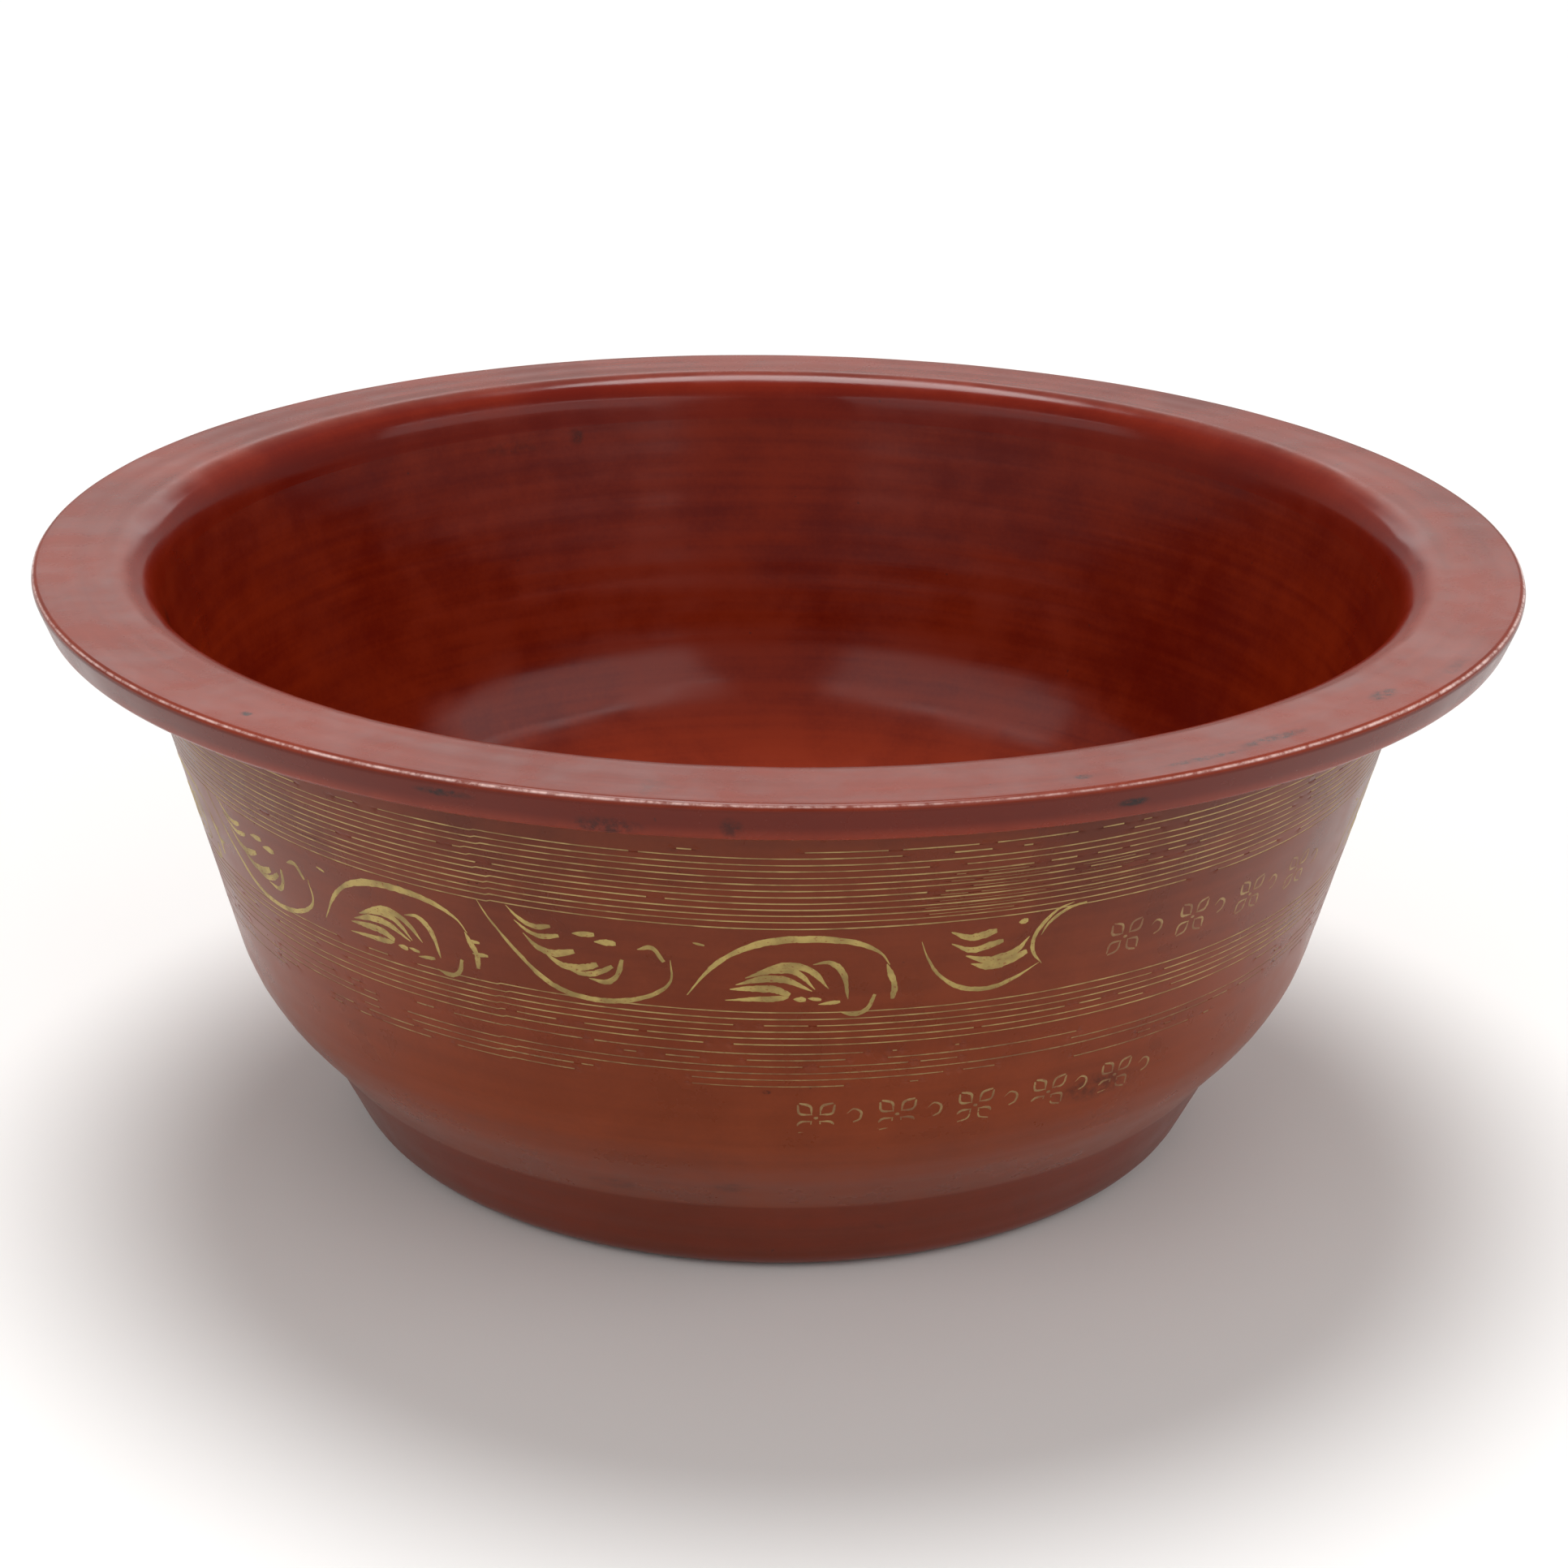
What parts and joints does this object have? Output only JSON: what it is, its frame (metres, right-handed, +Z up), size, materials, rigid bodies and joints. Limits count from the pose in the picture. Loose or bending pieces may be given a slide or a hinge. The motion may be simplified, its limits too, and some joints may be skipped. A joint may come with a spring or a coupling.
{
  "type": "lacquered bowl",
  "caption": "Wide open bowl with a flat flanged rim, sloping wall and low foot ring, in red lacquer on coiled bamboo, with engraved gold bands.",
  "frame": {"origin": "centre of the foot ring's resting face", "axes": "+Z up along the bowl's axis; -Y towards the middle of the engraved front"},
  "size_m": [0.35, 0.35, 0.142],
  "materials": {
    "bamboo": "split bamboo strip, satin",
    "ash_putty": "matt lacquer and ash putty",
    "black_lacquer": "polished black lacquer",
    "red_lacquer": "hand-polished red lacquer, satin to gloss",
    "gold_filling": "yellow-gold pigment filling, rubbed flush"
  },
  "bodies": {
    "root": {"floor_coil": "bamboo", "base_hoop_1": "bamboo", "base_hoop_2": "bamboo", "base_hoop_3": "bamboo", "base_hoop_4": "bamboo", "base_hoop_5": "bamboo", "base_hoop_6": "bamboo", "wall_hoop_01": "bamboo", "wall_hoop_02": "bamboo", "wall_hoop_03": "bamboo", "wall_hoop_04": "bamboo", "wall_hoop_05": "bamboo", "wall_hoop_06": "bamboo", "wall_hoop_07": "bamboo", "wall_hoop_08": "bamboo", "wall_hoop_09": "bamboo", "wall_hoop_10": "bamboo", "wall_hoop_11": "bamboo", "rim_hoop_1": "bamboo", "rim_hoop_2": "bamboo", "rim_hoop_3": "bamboo", "rim_hoop_4": "bamboo", "rim_hoop_5": "bamboo", "rim_hoop_6": "bamboo", "foot_hoop_1": "bamboo", "foot_hoop_2": "bamboo", "foot_hoop_3": "bamboo", "putty_outside": "ash_putty", "putty_inside": "ash_putty", "putty_rim": "ash_putty", "putty_foot": "ash_putty", "putty_underside": "ash_putty", "black_outside": "black_lacquer", "black_inside": "black_lacquer", "black_rim": "black_lacquer", "black_foot": "black_lacquer", "black_underside": "black_lacquer", "red_outside": "red_lacquer", "red_inside": "red_lacquer", "red_rim": "red_lacquer", "red_foot": "red_lacquer", "upper_lines": "gold_filling", "middle_lines": "gold_filling", "lower_lines": "gold_filling", "scrolls": "gold_filling", "flowers": "gold_filling"}
  },
  "joints": []
}
